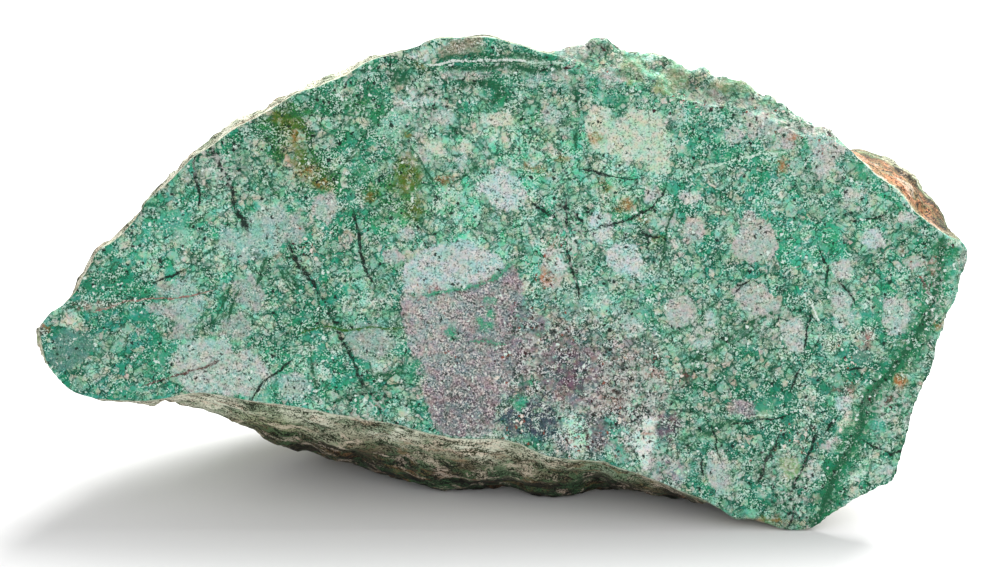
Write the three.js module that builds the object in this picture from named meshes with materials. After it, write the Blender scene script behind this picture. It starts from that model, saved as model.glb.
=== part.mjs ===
// A raw chrysocolla rock, sawn flat on its front and left natural everywhere else.
//
// It is one solid. The sawn face leans back, and the rock rests on the natural belly behind the face's
// lower edge and on the tip of the face's foot. Thin beds of rock run parallel to the sawn face, so the
// sides show ledges that follow the outline, and the back is a split surface with broad steps.
//
// The shape is drawn in slab coordinates: u to the right along the face, v up the face from its lowest
// tip, and w behind the face, into the rock. They are counted in UNIT, a hundredth of half the length, so
// the face reaches from about u = -100 to u = 100.
import * as THREE from "three";
import { ImprovedNoise } from "three/addons/math/ImprovedNoise.js";

const LENGTH = 170; // mm, the rock's length along X
const LEAN = THREE.MathUtils.degToRad(24); // how far the sawn face leans back from upright
const UNIT = LENGTH / 200; // mm

const SPACING = 3.0; // distance between neighbouring vertices on the sides
const BACK_SPACING = 4.0; // the same on the back
const FACE_RINGS = [0.3, 0.6]; // rings of the flat face, as shares of the way out to its edge
const CHIP_RINGS = [0.35, 0.7]; // rings of the broken edge, as shares of its width
const BACK_RINGS = [0.13, 0.26, 0.39, 0.52, 0.65, 0.8]; // rings of the back, as shares of the way in
const CORE = { from: -46, to: 48, v: 51, w: 14 }; // line inside the rock that the whole skin surrounds

// The outline of the sawn side, clockwise from its left tip, in stretches. Behind each stretch the skin
// swells outwards by `swell` until the depth `at`, then draws in by `draft` for each unit of depth. A
// point is [u, v], may have its own swell or draft, and may have a `chip`: the broken edge's width there.
const STRETCHES = [
  // Left tip
  {
    swell: 0.6, at: 4, draft: 0.5,
    points: [
      [-95, 32.3, { chip: 1 }], [-97.4, 36, { chip: 1.6 }], [-99, 39.8, { chip: 2 }],
      [-99.8, 43.6, { chip: 2.2 }], [-97.9, 44.6, { chip: 1.2 }], [-97.4, 46.3],
    ],
  },
  // Left slope
  {
    swell: 1.2, at: 7, draft: 0.5,
    points: [
      [-95.6, 47], [-92, 49.3, { swell: 4 }], [-90.2, 51, { swell: 4.4 }],
      [-89.6, 53.4, { swell: 3.2 }], [-87.4, 56.8], [-86.2, 59.6], [-82.5, 62], [-78, 66.4],
      [-75.4, 70.2], [-70, 75], [-65.2, 80], [-60, 83.2, { swell: 1.8 }], [-55, 86.6, { swell: 2 }],
      [-49, 89.8, { swell: 2.2 }], [-44, 93, { swell: 2.2 }], [-38, 95, { swell: 2.4 }],
      [-33, 97.3, { swell: 2.2 }], [-29, 99.9, { swell: 1.5 }],
    ],
  },
  // Crown
  {
    swell: 0, at: 4, draft: 0.5,
    points: [
      [-22, 102, { swell: 0.7 }], [-17.5, 103.8], [-14.5, 105.5, { chip: 1 }], [-8, 106, { chip: 1.4 }],
      [-2, 105.7, { chip: 1 }], [4, 103.8], [10.5, 102.4, { chip: 1 }],
    ],
  },
  // Broken crest
  {
    swell: 0, at: 4, draft: 0.5,
    points: [
      [15, 104.6, { chip: 4.6 }], [20, 106.1, { chip: 8 }], [24.5, 105.2, { chip: 9 }],
      [30, 103.9, { chip: 9 }], [34, 103, { chip: 9.4 }], [39, 100.8, { chip: 9.2 }],
      [44, 98.3, { chip: 8 }], [50, 97, { chip: 7.3 }], [53.5, 95.3, { chip: 6.4 }],
      [54.6, 93.7, { chip: 5.2 }], [59, 93, { chip: 6.2 }], [62.5, 90.7, { chip: 5.6 }],
      [65.3, 87.8, { chip: 4.4 }], [70, 86.5, { chip: 3.8 }], [72.6, 85, { chip: 2.4 }],
      [74.2, 82.6, { chip: 1.2 }],
    ],
  },
  // Shoulder
  {
    swell: 7, at: 14, draft: 0.2,
    points: [
      [76.5, 79.8, { swell: 2.4 }], [80.5, 75.7, { swell: 6.4 }], [85, 72.5, { swell: 7.8 }], [87.5, 68.8],
      [92.5, 64.8, { swell: 4.8 }], [97, 62.3, { swell: 2.4 }],
    ],
  },
  // Right edge
  {
    swell: 0, at: 4, draft: 0.42,
    points: [
      [99.5, 61.6, { chip: 1.6 }], [100.4, 58.5, { chip: 3 }], [99.2, 54.5, { chip: 2.6 }],
      [98.4, 49.5, { chip: 3 }], [96, 45.6, { chip: 2.4 }], [94.6, 42, { chip: 1.6 }],
      [93.2, 38.5, { chip: 1 }], [93.2, 35, { chip: 1.2 }], [90.8, 31.6], [89.8, 29],
    ],
  },
  // Foot
  {
    swell: 0, at: 3, draft: 0.58,
    points: [
      [88.4, 25], [87.4, 20.5], [86, 16.5], [84.6, 11], [83.6, 10], [78, 7.5], [73, 4.6],
      [69, 2.2], [66.8, 0.3], [61, 0.3], [57, 1.7, { chip: 1.2 }], [53, 2.7, { chip: 1.4 }],
      [50.6, 2.2, { chip: 1.2 }], [46.5, 5, { chip: 0.8 }],
    ],
  },
  // Belly
  {
    swell: 13, at: 20, draft: 0.1,
    points: [
      [41, 7.7, { swell: 1.5, draft: 0.45 }], [35, 10.2, { swell: 4, draft: 0.35 }],
      [30, 12.2, { swell: 4.6, draft: 0.25 }], [23, 14.6, { swell: 6.6, draft: 0.15 }],
      [15, 15.6, { swell: 9.5 }], [9, 16.8, { swell: 12.4 }], [2, 20, { swell: 14.3 }],
      [-8, 20.4], [-15, 21.5], [-24, 23.6], [-36, 25.4, { swell: 12.3 }],
      [-45, 27.2, { swell: 10.4 }], [-55, 28.4, { swell: 7.3 }], [-65, 29.8, { swell: 6.2 }],
    ],
  },
  // Left keel
  {
    swell: 1.2, at: 8, draft: 0.4,
    points: [[-73, 28.4, { swell: 3.4 }], [-80, 28], [-87, 28.4], [-91.5, 29.8]],
  },
];
const NARROW_CHIP = 0.35; // width of the blunted edge where no chip is given
const CHIP_SLOPE = 0.45; // depth of a chip's outer edge behind the face, for each unit of its width

// The slab is thickest behind the middle of the face. Its back is split along the beds, so it is nearly
// parallel to the face, with broad steps: past each line, from the point `through` in the direction
// `facing` (degrees from u), the back stands nearer to the face by `drop`.
const THICKNESS = 62;
const THINNING = 0.0034; // loss per squared unit of u from the middle
const BACK_STEPS = [
  { through: [24, 60], facing: 12, drop: 7 },
  { through: [-38, 40], facing: 160, drop: 6 },
  { through: [-5, 70], facing: 80, drop: 6 },
  { through: [58, 50], facing: -20, drop: 5 },
];
const BACK_ROUNDING = 12; // radius of the rim between the sides and the back

// Faces where pieces broke off. Nothing stands further than `reach` from the middle of the core along
// the direction `normal` (u, v, w).
const BREAKS = [
  { normal: [-0.50, 0.66, 0.56], reach: 50 },
  { normal: [0.44, 0.66, 0.61], reach: 57 },
  { normal: [-0.02, 0.84, 0.54], reach: 50 },
  { normal: [0.10, 0.62, 0.78], reach: 47 },
  { normal: [-0.84, 0.10, 0.53], reach: 72 },
  { normal: [-0.58, -0.36, 0.73], reach: 52 },
  { normal: [0.72, 0.22, 0.66], reach: 75 },
  { normal: [0.66, -0.42, 0.62], reach: 57 },
  { normal: [0.08, -0.62, 0.78], reach: 43 },
  { normal: [-0.26, 0.12, 0.96], reach: 42 },
  { normal: [0.34, 0.22, 0.91], reach: 44 },
];

// The relief of the natural skin. Every wave of noise is [size, height].
const BREAK_WAVE = [28, 1.2]; // unevenness of the breaks
const STEP_WAVES = [[24, 9], [8, 4]]; // wandering of the back's steps
const BED = { thickness: 5.6, relief: 2.8, waves: [[50, 2.5], [17, 1.2]], reach: 26 };
const LUMPS = [[34, 1.2], [15, 1.1]];
const SIDE_LUMPS = [[7, 0.9]];
const PITS = { size: 12, depth: 2.6, from: 0.42, to: 0.7 };
const CHIP_WAVE = [4, 0.35]; // broken ground is uneven

const { clamp, lerp, smoothstep } = THREE.MathUtils;
const noiseField = new ImprovedNoise();
const SEED_STEP = 11.37; // distance between the fields that two seeds pick
const skew = new THREE.Matrix3().set(0.80, -0.36, 0.48, 0.60, 0.48, -0.64, 0, 0.80, 0.60); // off the axes

// Smooth noise from about -1 to 1. `size` is the distance between its lumps, `seed` picks another field.
function noise({ x, y, z }, size, seed) {
  const place = new THREE.Vector3(x, y, z).applyMatrix3(skew).divideScalar(size);
  place.addScalar(seed * SEED_STEP);
  return noiseField.noise(place.x, place.y, place.z);
}

// The sum of several waves of noise, each from its own field.
function waves(point, list, seed) {
  return list.reduce((sum, [size, height], index) => sum + height * noise(point, size, seed + index), 0);
}

// The nearest point of the core beside `point`: everything is shaped along the ray that leaves it.
function coreBeside(point) {
  return new THREE.Vector3(clamp(point.x, CORE.from, CORE.to), CORE.v, CORE.w);
}

// The outline as a closed curve, read off in small steps, with each stretch's numbers known all along it.
function makeOutline() {
  const stations = STRETCHES.flatMap(({ points, ...stretch }) =>
    points.map(([u, v, own]) => {
      const place = new THREE.Vector3(u, v, 0);
      return { chip: NARROW_CHIP, ...stretch, ...own, place };
    }),
  );
  const curve = new THREE.CatmullRomCurve3(stations.map(({ place }) => place), true, "centripetal");
  const steps = 1200;
  return Array.from({ length: steps }, (_, step) => {
    const t = curve.getUtoTmapping(step / steps);
    const index = Math.floor(t * stations.length);
    const [first, second] = [stations[index], stations[(index + 1) % stations.length]];
    const edge = { point: curve.getPoint(t) };
    const between = smoothstep(t * stations.length - index, 0, 1);
    for (const key of ["swell", "at", "draft", "chip"]) edge[key] = lerp(first[key], second[key], between);
    return edge;
  });
}

// The outline at `share` of the way round, between its two nearest steps.
function edgeAt(outline, share) {
  const at = share * outline.length;
  const first = outline[Math.floor(at) % outline.length];
  const second = outline[(Math.floor(at) + 1) % outline.length];
  const t = at - Math.floor(at);
  const edge = { point: first.point.clone().lerp(second.point, t) };
  for (const key of ["swell", "at", "draft", "chip"]) edge[key] = lerp(first[key], second[key], t);
  edge.inner = coreBeside(edge.point).setZ(0);
  edge.radius = edge.point.distanceTo(edge.inner);
  edge.outward = edge.point.clone().sub(edge.inner).normalize();
  edge.drop = edge.chip * CHIP_SLOPE;
  return edge;
}

// The bare skin at `t`, from the face's edge (0) over the side and the rounded rim to the back (1).
function sidePoint(edge, t) {
  const rim = THICKNESS - THINNING * edge.point.x ** 2;
  const straight = rim - BACK_ROUNDING - edge.drop;
  const along = t * (straight + (BACK_ROUNDING * Math.PI) / 2);
  const turn = Math.max(0, along - straight) / BACK_ROUNDING;
  const depth = edge.drop + Math.min(along, straight) + BACK_ROUNDING * Math.sin(turn);
  const swell = edge.swell * Math.sin((Math.min(1, depth / edge.at) * Math.PI) / 2);
  const drawnIn = edge.draft * Math.max(0, depth - edge.at) + BACK_ROUNDING * (1 - Math.cos(turn));
  const reach = Math.max(edge.radius * 0.3, edge.radius + swell - drawnIn);
  return edge.inner.clone().addScaledVector(edge.outward, reach).setZ(depth);
}

// Draws `point` in along its ray until it is inside the plane n.(p - middle) = reach.
function cutBack(point, normal, middle, reach) {
  const core = coreBeside(point);
  const ray = point.clone().sub(core);
  const slope = ray.dot(normal);
  const room = reach - core.sub(middle).dot(normal);
  return slope > room ? point.addScaledVector(ray, room / slope - 1) : point;
}

// How far behind the face the stepped back stands at `point`.
function backDepth(point) {
  let depth = THICKNESS;
  for (const [index, { through, facing, drop }] of BACK_STEPS.entries()) {
    const angle = THREE.MathUtils.degToRad(facing);
    const past = (point.x - through[0]) * Math.cos(angle) + (point.y - through[1]) * Math.sin(angle);
    const flat = { x: point.x, y: point.y, z: 0 };
    depth -= drop * smoothstep(past + waves(flat, STEP_WAVES, 3 * index + 1), -1.5, 1.5);
  }
  return depth;
}

// Each bed stands out or lies back a little from its neighbours, which makes ledges round the sides.
function ledge(point) {
  const level = (point.z + waves(point, BED.waves, 4)) / BED.thickness;
  const bed = Math.floor(level);
  const place = (index) => ({ x: index * 7.7, y: point.x / BED.reach, z: point.y / BED.reach });
  return lerp(noise(place(bed), 1, 7), noise(place(bed + 1), 1, 7), smoothstep(level - bed, 0.7, 1));
}

// Breaks, lumps, ledges and pits, all worked along the point's own ray, and the belly worn flat below.
function weather(point, shelter) {
  const middle = new THREE.Vector3(0, CORE.v, CORE.w);
  for (const [index, { normal, reach }] of BREAKS.entries()) {
    const direction = new THREE.Vector3(...normal).normalize();
    cutBack(point, direction, middle, reach + waves(point, [BREAK_WAVE], index + 20));
  }
  point.setZ(Math.min(point.z, backDepth(point)));
  const ray = point.clone().sub(coreBeside(point));
  const strength = shelter * smoothstep(Math.hypot(ray.x, ray.y), 2, 22);
  ray.normalize();
  const sideways = smoothstep(1 - ray.z * ray.z, 0.4, 0.9);
  const pits = PITS.depth * smoothstep(noise(point, PITS.size, 6), PITS.from, PITS.to);
  const sideRelief = waves(point, SIDE_LUMPS, 3) + BED.relief * ledge(point) - pits;
  point.addScaledVector(ray, strength * (waves(point, LUMPS, 1) + sideways * sideRelief));
  return cutBack(point, new THREE.Vector3(0, -Math.cos(LEAN), Math.sin(LEAN)), new THREE.Vector3(), 0);
}

// Slab coordinates to millimetres, standing on the floor.
function stand(point) {
  const up = point.y * Math.cos(LEAN) - point.z * Math.sin(LEAN);
  const back = point.y * Math.sin(LEAN) + point.z * Math.cos(LEAN);
  return new THREE.Vector3(point.x, back, Math.max(0, up)).multiplyScalar(UNIT);
}

// A closed ring of points `spacing` apart, each made by `make(share of the way round the outline)`.
function ring(make, spacing) {
  const probes = 600;
  const lengths = [0];
  let last = make(0);
  for (let probe = 1; probe <= probes; probe++) {
    const next = make((probe % probes) / probes);
    lengths.push(lengths.at(-1) + next.distanceTo(last));
    last = next;
  }
  const count = 2 * Math.round(lengths.at(-1) / spacing / 2);
  const points = [];
  let probe = 0;
  for (let index = 0; index < count; index++) {
    const length = (index / count) * lengths.at(-1);
    while (lengths[probe + 1] < length) probe += 1;
    const part = (length - lengths[probe]) / (lengths[probe + 1] - lengths[probe]) || 0;
    const share = (probe + part) / probes;
    points.push({ share, place: make(share) });
  }
  return points;
}

// The innermost ring lies folded flat on the core's line: the way back uses the points of the way there.
function foldedRing(make, spacing) {
  const points = ring(make, spacing);
  for (let index = 1; index < points.length / 2; index++) points.at(-index).twin = points[index];
  return points;
}

// All rings, from the middle of the sawn face out to its edge, back along the sides and in over the back.
function makeRings(outline) {
  const inset = (edge, width) => edge.point.clone().addScaledVector(edge.outward, -width);
  const faceRing = (out) => (share) => {
    const edge = edgeAt(outline, share);
    return edge.inner.lerp(inset(edge, edge.chip), out);
  };
  const chipRing = (out) => (share) => {
    const edge = edgeAt(outline, share);
    const point = inset(edge, edge.chip * (1 - out));
    return point.setZ(edge.drop * (out + waves(point, [CHIP_WAVE], 8)));
  };
  const sideRing = (t) => (share) => {
    const point = sidePoint(edgeAt(outline, share), t);
    return t ? weather(point, smoothstep(point.z, 0.5, 12)) : point;
  };
  const backRing = (inwards) => (share) => {
    const edge = edgeAt(outline, share);
    return weather(sidePoint(edge, 1).lerp(edge.inner.setZ(THICKNESS), inwards), 1);
  };

  const rings = [foldedRing(faceRing(0), SPACING * 7)];
  for (const out of FACE_RINGS) rings.push(ring(faceRing(out), SPACING * lerp(7, 2, out)));
  rings.push(ring(faceRing(1), SPACING * 0.75));
  for (const out of CHIP_RINGS) rings.push(ring(chipRing(out), SPACING * 0.8));
  const sideSteps = Math.round(THICKNESS / SPACING);
  for (let step = 0; step <= sideSteps; step++) {
    rings.push(ring(sideRing(step / sideSteps), step ? SPACING : SPACING * 0.8));
  }
  for (const inwards of BACK_RINGS) rings.push(ring(backRing(inwards), BACK_SPACING));
  rings.push(foldedRing(backRing(1), BACK_SPACING));
  return rings;
}

// Joins neighbouring rings by triangles, in the order of their points' shares.
function stitch(rings) {
  const positions = [];
  for (const point of rings.flat()) {
    if (point.twin) {
      point.index = point.twin.index;
    } else {
      point.index = positions.length / 3;
      positions.push(...stand(point.place));
    }
  }
  const faces = [];
  for (let index = 0; index + 1 < rings.length; index++) {
    const [near, far] = [rings[index], rings[index + 1]];
    const vertex = (points, step) => points[step % points.length].index;
    const middle = (points, step) => points[step].share + (points[step + 1]?.share ?? 1);
    let [a, b] = [0, 0];
    while (a < near.length || b < far.length) {
      if (b === far.length || (a < near.length && middle(near, a) <= middle(far, b))) {
        faces.push(vertex(near, a), vertex(near, a + 1), vertex(far, b));
        a += 1;
      } else {
        faces.push(vertex(near, a), vertex(far, b + 1), vertex(far, b));
        b += 1;
      }
    }
  }
  return new THREE.BufferGeometry()
    .setAttribute("position", new THREE.Float32BufferAttribute(positions, 3))
    .setIndex(faces);
}

// Puts the origin at the middle of the foot of the rock's box, on the floor.
function standOnOrigin(geometry) {
  geometry.computeBoundingBox();
  const { min, max } = geometry.boundingBox;
  return geometry.translate(-(min.x + max.x) / 2, -(min.y + max.y) / 2, -min.z);
}

const stone = new THREE.MeshStandardMaterial({ color: 0x6f9f86, roughness: 0.8, metalness: 0 });
const rock = new THREE.Mesh(standOnOrigin(stitch(makeRings(makeOutline()))), stone);
rock.name = "chrysocolla_rock";

const group = new THREE.Group();
group.add(rock);
export default group;
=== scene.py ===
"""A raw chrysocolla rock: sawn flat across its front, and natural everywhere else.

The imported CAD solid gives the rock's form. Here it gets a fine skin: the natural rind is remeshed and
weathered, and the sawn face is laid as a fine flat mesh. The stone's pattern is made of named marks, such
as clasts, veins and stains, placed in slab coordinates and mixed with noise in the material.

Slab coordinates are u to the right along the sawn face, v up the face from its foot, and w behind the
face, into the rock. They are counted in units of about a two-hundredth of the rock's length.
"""

import itertools
import math

import bmesh
import bpy
import numpy as np
from mathutils import Matrix, Vector
from mathutils.geometry import delaunay_2d_cdt


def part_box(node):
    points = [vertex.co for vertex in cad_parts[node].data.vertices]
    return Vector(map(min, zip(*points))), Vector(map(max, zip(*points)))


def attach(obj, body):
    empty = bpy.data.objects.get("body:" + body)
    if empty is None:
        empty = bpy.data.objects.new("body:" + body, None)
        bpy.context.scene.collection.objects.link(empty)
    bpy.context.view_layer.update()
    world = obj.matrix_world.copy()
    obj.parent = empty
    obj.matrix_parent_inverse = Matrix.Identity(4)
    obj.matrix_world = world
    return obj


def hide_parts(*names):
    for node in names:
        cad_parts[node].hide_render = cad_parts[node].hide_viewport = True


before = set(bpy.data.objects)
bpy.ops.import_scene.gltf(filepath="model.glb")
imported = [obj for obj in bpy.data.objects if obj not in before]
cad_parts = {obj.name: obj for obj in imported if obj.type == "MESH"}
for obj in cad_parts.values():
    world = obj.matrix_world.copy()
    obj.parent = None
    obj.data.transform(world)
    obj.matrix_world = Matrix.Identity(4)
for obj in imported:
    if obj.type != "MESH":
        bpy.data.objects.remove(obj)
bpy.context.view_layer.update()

# ---- sizes
NODE = "chrysocolla_rock"
LEAN = math.radians(24)  # how far the sawn face leans back from upright
LENGTH_UNITS = 200.451  # the rock's length along X, in slab units
MIDDLE_U = 0.1075  # u at the middle of the rock's box

VOXEL = 0.9  # units between the rind's vertices
FACE_SPACING = 0.6  # units between the sawn face's vertices
FACE_RAISED = 4  # units that the face is raised by before it is cut flat
BUMP_HEIGHT = 0.1  # units
REACH = 2.0  # units from a mark's edge, or from a vein's middle, that its distance is stored for

CAD_LOW, CAD_HIGH = (np.array(corner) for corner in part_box(NODE))
UNIT = (CAD_HIGH[0] - CAD_LOW[0]) / LENGTH_UNITS  # metres

ACROSS = np.array([1, 0, 0])
UP_FACE = np.array([0, math.sin(LEAN), math.cos(LEAN)])
INTO_ROCK = np.array([0, math.cos(LEAN), -math.sin(LEAN)])
AXES = np.array([ACROSS, UP_FACE, INTO_ROCK])


def vertex_array(mesh, attribute="co"):
    values = np.empty(len(mesh.vertices) * 3)
    mesh.vertices.foreach_get(attribute, values)
    return values.reshape(-1, 3)


def foot_of_face(points):
    """The point of the sawn plane on the floor, at u = 0."""
    plane = (points @ INTO_ROCK).min()
    middle = (CAD_LOW[0] + CAD_HIGH[0]) / 2
    return np.array([middle - MIDDLE_U * UNIT, plane / math.cos(LEAN), 0])


ORIGIN = foot_of_face(vertex_array(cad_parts[NODE].data))


def to_slab(points):
    return (points - ORIGIN) @ AXES.T / UNIT


def from_slab(points):
    return np.asarray(points) @ AXES * UNIT + ORIGIN


# ---- noise
GRADIENTS = np.random.default_rng(5).normal(size=(1024, 3))
GRADIENTS /= np.linalg.norm(GRADIENTS, axis=1, keepdims=True)
PRIMES = np.array([73856093, 19349663, 83492791])
SKEW = np.array([[0.80, -0.36, 0.48], [0.60, 0.48, -0.64], [0, 0.80, 0.60]])


def cell_key(cell):
    """A pseudo-random number from 0 to 1023 for each integer cell."""
    mixed = np.bitwise_xor.reduce(cell * PRIMES, axis=1)
    return (mixed ^ (mixed >> 9)) & 1023


def noise(points, size, seed):
    """Smooth noise from about -1 to 1. `size` is one number, or one for each slab axis."""
    place = (points / size) @ SKEW + seed * 17.3
    cell = np.floor(place).astype(np.int64)
    inside = place - cell
    fade = inside**3 * (inside * (inside * 6 - 15) + 10)
    total = np.zeros(len(points))
    for corner in itertools.product((0, 1), repeat=3):
        slopes = GRADIENTS[cell_key(cell + corner)]
        weight = np.prod(np.where(corner, fade, 1 - fade), axis=1)
        total += weight * ((inside - corner) * slopes).sum(axis=1)
    return total * 1.7


def layers(points, size, seed):
    """Noise in three octaves, each half as large and half as strong as the one before."""
    return sum(noise(points, size / 2**i, seed + i) / 2**i for i in range(3))


def facets(points, size, seed):
    """A broken surface: each block of about this size has its own height and slopes its own way."""
    place = points / size
    cell = np.floor(place).astype(np.int64)
    nearest = np.full(len(points), np.inf)
    height = np.zeros(len(points))
    for offset in itertools.product((-1, 0, 1), repeat=3):
        slopes = GRADIENTS[cell_key(cell + offset + seed)]
        gap = place - (cell + offset + 0.5 + 0.3 * slopes)
        distance = np.linalg.norm(gap, axis=1)
        closer = distance < nearest
        nearest[closer] = distance[closer]
        height[closer] = (slopes[:, 0] + (gap * slopes[:, ::-1]).sum(axis=1))[closer]
    return height


def smoothstep(low, high, value):
    """0 below `low`, 1 above `high`, and smooth between. It falls instead where low > high."""
    t = np.clip((value - low) / (high - low), 0, 1)
    return t * t * (3 - 2 * t)


# ---- the rock's shape
def add_object(name, data):
    """Puts an object with this data in the scene."""
    added = bpy.data.objects.new(name, data)
    bpy.context.scene.collection.objects.link(added)
    return added


def mesh_object(name, points, faces):
    mesh = bpy.data.meshes.new(name)
    mesh.from_pydata(points.tolist(), [], faces)
    return add_object(name, mesh)


def raised_solid():
    """The CAD solid in slab units, with its sawn face raised so that a later cut finds straight walls."""
    bm = bmesh.new()
    bm.from_mesh(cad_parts[NODE].data)
    for vertex in bm.verts:
        vertex.co = to_slab(np.array(vertex.co))
    bmesh.ops.remove_doubles(bm, verts=bm.verts, dist=0.01)
    cap = [face for face in bm.faces if all(vertex.co.z < 0.02 for vertex in face.verts)]
    raised = bmesh.ops.extrude_face_region(bm, geom=cap)["geom"]
    tops = [item for item in raised if isinstance(item, bmesh.types.BMVert)]
    bmesh.ops.translate(bm, verts=tops, vec=(0, 0, -FACE_RAISED))
    bmesh.ops.delete(bm, geom=cap, context="FACES")
    mesh = bpy.data.meshes.new("raised")
    bm.to_mesh(mesh)
    bm.free()
    return mesh


def remeshed(mesh):
    """The same solid with an even mesh of small quads."""
    piece = add_object("remeshing", mesh)
    modifier = piece.modifiers.new("even mesh", "REMESH")
    modifier.mode = "VOXEL"
    modifier.voxel_size = VOXEL
    depsgraph = bpy.context.evaluated_depsgraph_get()
    even = bpy.data.meshes.new_from_object(piece.evaluated_get(depsgraph))
    bpy.data.objects.remove(piece)
    bpy.data.meshes.remove(mesh)
    return even


def smooth(mesh, rounds):
    """Takes the CAD solid's facets off, but leaves the strip along the sawn face sharp."""
    points = vertex_array(mesh)
    edges = np.empty(len(mesh.edges) * 2, int)
    mesh.edges.foreach_get("vertices", edges)
    first, second = edges.reshape(-1, 2).T
    ends, others = np.concatenate([first, second]), np.concatenate([second, first])
    count = np.bincount(ends, minlength=len(points))
    share = 0.5 * (0.15 + 0.85 * smoothstep(1, 6, points[:, 2]))
    for _ in range(rounds):
        mean = np.stack([np.bincount(ends, points[others, axis], len(points)) for axis in range(3)], axis=1)
        points += share[:, None] * (mean / count[:, None] - points)
    mesh.vertices.foreach_set("co", points.ravel())
    mesh.update()


def crest_share(points):
    """1 along the broken crest, right of the middle, and 0 elsewhere."""
    across = smoothstep(11, 15, points[:, 0]) * smoothstep(76, 73, points[:, 0])
    return across * smoothstep(60, 70, points[:, 1])


def weather(mesh):
    """Lumps, thin beds, blocks, grain and pits on the natural rind."""
    points = vertex_array(mesh)
    normals = vertex_array(mesh, "normal")
    inward = smoothstep(0, 5, points[:, 2])
    sideways = 1 - smoothstep(0.5, 0.9, np.abs(normals[:, 2]))
    beds = points + 2.2 * noise(points, 26, 11)[:, None] * [0, 0, 1]
    lumps = 0.7 * layers(points, 12, 1)
    ridges = 0.5 - np.abs(noise(beds, (24, 24, 3.4), 2)) + 0.5 * noise(beds, (12, 12, 1.5), 3)
    grain = 0.22 * noise(points, 2.2, 4)
    pits = 0.9 * smoothstep(0.42, 0.75, noise(points, 5, 6))
    broken = facets(points + 0.8 * noise(points, 4, 7)[:, None], 5, 9) + 0.5 * facets(points, 2.6, 8)
    rough = 0.25 + 0.6 * crest_share(points)
    relief = (0.25 + 0.75 * inward) * (lumps + grain - pits + rough * broken)
    relief += (0.4 + 0.6 * inward) * sideways * ridges * 0.8
    points += normals * relief[:, None]
    mesh.vertices.foreach_set("co", points.ravel())
    mesh.update()


def cut_at_face(mesh):
    """Cuts the raised part off at w = 0 and returns the rind's points, faces and open loops."""
    bm = bmesh.new()
    bm.from_mesh(mesh)
    everything = bm.verts[:] + bm.edges[:] + bm.faces[:]
    bmesh.ops.bisect_plane(
        bm, geom=everything, dist=0.02, plane_co=(0, 0, 0), plane_no=(0, 0, -1), clear_outer=True
    )
    bm.verts.index_update()
    points = np.array([vertex.co for vertex in bm.verts])
    faces = [[vertex.index for vertex in face.verts] for face in bm.faces]
    after = {}
    for edge in bm.edges:
        if edge.is_boundary:
            loop = edge.link_loops[0]
            after[loop.link_loop_next.vert.index] = loop.vert.index
    bm.free()
    loops = []
    while after:
        start, index = after.popitem()
        loop = [start]
        while index != start:
            loop.append(index)
            index = after.pop(index)
        loops.append(loop)
    return points, faces, loops


def inside_polygon(points, polygon):
    inside = np.zeros(len(points), bool)
    for (x0, y0), (x1, y1) in zip(polygon, np.roll(polygon, -1, axis=0)):
        crosses = (y0 > points[:, 1]) != (y1 > points[:, 1])
        at = x0 + (points[:, 1] - y0) / (y1 - y0 if y1 != y0 else 1) * (x1 - x0)
        inside ^= crosses & (points[:, 0] < at)
    return inside


def distance_to_line(points, line):
    """Distance from each point to a line of straight stretches."""
    nearest = np.full(len(points), np.inf)
    for start, end in zip(line[:-1], line[1:]):
        along = end - start
        share = np.clip((points - start) @ along / max(along @ along, 1e-9), 0, 1)
        gap = points - start - share[:, None] * along
        nearest = np.minimum(nearest, np.hypot(gap[:, 0], gap[:, 1]))
    return nearest


def closed(outline):
    return np.concatenate([outline, outline[:1]])


def face_mesh(points, loops):
    """A fine flat mesh over the sawn face: new points inside the loops, and triangles that use both."""
    rim = [index for loop in loops for index in loop]
    outline = points[max(loops, key=len)][:, :2]
    low, high = outline.min(axis=0), outline.max(axis=0)
    rows = np.arange(low[1], high[1], FACE_SPACING * math.sqrt(3) / 2)
    columns = np.arange(low[0], high[0], FACE_SPACING)
    grid = np.stack(np.meshgrid(columns, rows), axis=-1)
    grid[1::2, :, 0] += FACE_SPACING / 2
    grid = grid.reshape(-1, 2)
    grid += np.random.default_rng(8).uniform(-0.15, 0.15, grid.shape) * FACE_SPACING
    grid = grid[inside_polygon(grid, outline)]
    grid = grid[distance_to_line(grid, closed(outline)) > 0.6 * FACE_SPACING]
    flat = [Vector(point[:2]) for point in points[rim]] + [Vector(point) for point in grid]
    starts = np.cumsum([0] + [len(loop) for loop in loops])
    polygons = [list(range(start, start + len(loop))) for start, loop in zip(starts, loops)]
    made = delaunay_2d_cdt(flat, [], polygons, 1, 1e-6)
    places, triangles, sources = made[0], made[2], made[3]
    index_of = []
    added = []
    for place, source in zip(places, sources):
        if source and source[0] < len(rim):
            index_of.append(rim[source[0]])
        else:
            index_of.append(len(points) + len(added))
            added.append((place.x, place.y, 0))
    triangles = [[index_of[corner] for corner in reversed(triangle)] for triangle in triangles]
    return np.array(added), triangles


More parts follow.
